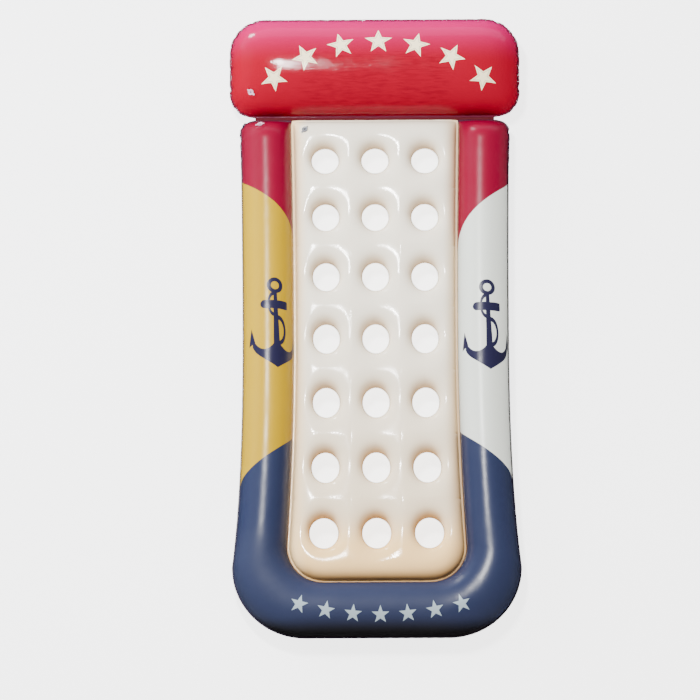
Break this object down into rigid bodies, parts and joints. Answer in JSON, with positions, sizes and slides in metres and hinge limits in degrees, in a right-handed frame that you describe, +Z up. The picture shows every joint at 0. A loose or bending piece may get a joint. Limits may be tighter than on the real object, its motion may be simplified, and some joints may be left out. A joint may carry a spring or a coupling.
{
  "type": "inflatable pool lounger",
  "caption": "Inflatable floating lounger: a mattress with rows of welded holes inside a U-shaped side tube, a fold-up headrest pillow across the head, and push-in inflation valves.",
  "frame": {"origin": "centre of the bounding box's bottom face, on the floor that the lounger rests on", "axes": "+Z up, +Y along the lounger towards the headrest, +X to the right seen from above with the headrest at the top"},
  "size_m": [0.72, 1.59, 0.1492],
  "materials": {
    "red_film": "gloss soft PVC film",
    "printed_film": "gloss soft PVC film, printed in red, yellow, white and navy blocks",
    "cream_film": "gloss soft PVC film",
    "clear_vinyl": "clear moulded soft vinyl"
  },
  "bodies": {
    "lounger": {"frame_top_skin": "printed_film", "frame_bottom_skin": "printed_film", "mattress_top_skin": "cream_film", "mattress_bottom_skin": "cream_film", "headrest_seam": "red_film", "frame_valve_flange": "clear_vinyl", "frame_valve_web": "clear_vinyl", "mattress_valve_flange": "clear_vinyl", "mattress_valve_web": "clear_vinyl"},
    "headrest": {"headrest_top_skin": "red_film", "headrest_bottom_skin": "red_film", "headrest_valve_flange": "clear_vinyl", "headrest_valve_web": "clear_vinyl"},
    "headrest_neck": {"headrest_valve_neck": "clear_vinyl", "headrest_valve_tether": "clear_vinyl"},
    "headrest_plug": {"headrest_valve_plug": "clear_vinyl"},
    "headrest_flap": {"headrest_valve_flap": "clear_vinyl"},
    "frame_neck": {"frame_valve_neck": "clear_vinyl", "frame_valve_tether": "clear_vinyl"},
    "frame_plug": {"frame_valve_plug": "clear_vinyl"},
    "frame_flap": {"frame_valve_flap": "clear_vinyl"},
    "mattress_neck": {"mattress_valve_neck": "clear_vinyl", "mattress_valve_tether": "clear_vinyl"},
    "mattress_plug": {"mattress_valve_plug": "clear_vinyl"},
    "mattress_flap": {"mattress_valve_flap": "clear_vinyl"}
  },
  "joints": [
    {"name": "headrest_fold", "type": "hinge", "parent": "lounger", "child": "headrest", "pos_m": [0, 0.54392, 0.05995], "axis": [1, 0, 0], "range_deg": [-57, 38], "deforming": ["headrest_seam"]},
    {"name": "headrest_valve_push", "type": "slide", "parent": "headrest", "child": "headrest_neck", "axis": [-0.275, -0.4525, 0.8483], "range_m": [0, 0.012], "deforming": ["headrest_valve_web"]},
    {"name": "headrest_plug_pull", "type": "slide", "parent": "headrest_neck", "child": "headrest_plug", "axis": [-0.275, -0.4525, 0.8483], "range_m": [0, 0.008], "deforming": ["headrest_valve_tether"]},
    {"name": "headrest_flap_swing", "type": "hinge", "parent": "headrest_neck", "child": "headrest_flap", "pos_m": [-0.3077, 0.60711, 0.10586], "axis": [0.5605, 0.6414, 0.5238], "range_deg": [0, 60], "stiffness_Nm_per_rad": 0.00005, "springref_deg": -17.19},
    {"name": "frame_valve_push", "type": "slide", "parent": "lounger", "child": "frame_neck", "axis": [-0.1528, 0.6655, 0.7306], "range_m": [0, 0.012], "deforming": ["frame_valve_web"]},
    {"name": "frame_plug_pull", "type": "slide", "parent": "frame_neck", "child": "frame_plug", "axis": [-0.1528, 0.6655, 0.7306], "range_m": [0, 0.008], "deforming": ["frame_valve_tether"]},
    {"name": "frame_flap_swing", "type": "hinge", "parent": "frame_neck", "child": "frame_flap", "pos_m": [-0.27809, 0.50686, 0.09388], "axis": [0.1635, -0.7121, 0.6828], "range_deg": [0, 60], "stiffness_Nm_per_rad": 0.00005, "springref_deg": -17.19},
    {"name": "mattress_valve_push", "type": "slide", "parent": "lounger", "child": "mattress_neck", "axis": [-0.2419, 0.2195, 0.9451], "range_m": [0, 0.012], "deforming": ["mattress_valve_web"]},
    {"name": "mattress_plug_pull", "type": "slide", "parent": "mattress_neck", "child": "mattress_plug", "axis": [-0.2419, 0.2195, 0.9451], "range_m": [0, 0.008], "deforming": ["mattress_valve_tether"]},
    {"name": "mattress_flap_swing", "type": "hinge", "parent": "mattress_neck", "child": "mattress_flap", "pos_m": [-0.16694, 0.50927, 0.07135], "axis": [0.6999, -0.6351, 0.3267], "range_deg": [0, 60], "stiffness_Nm_per_rad": 0.00005, "springref_deg": -17.19}
  ]
}
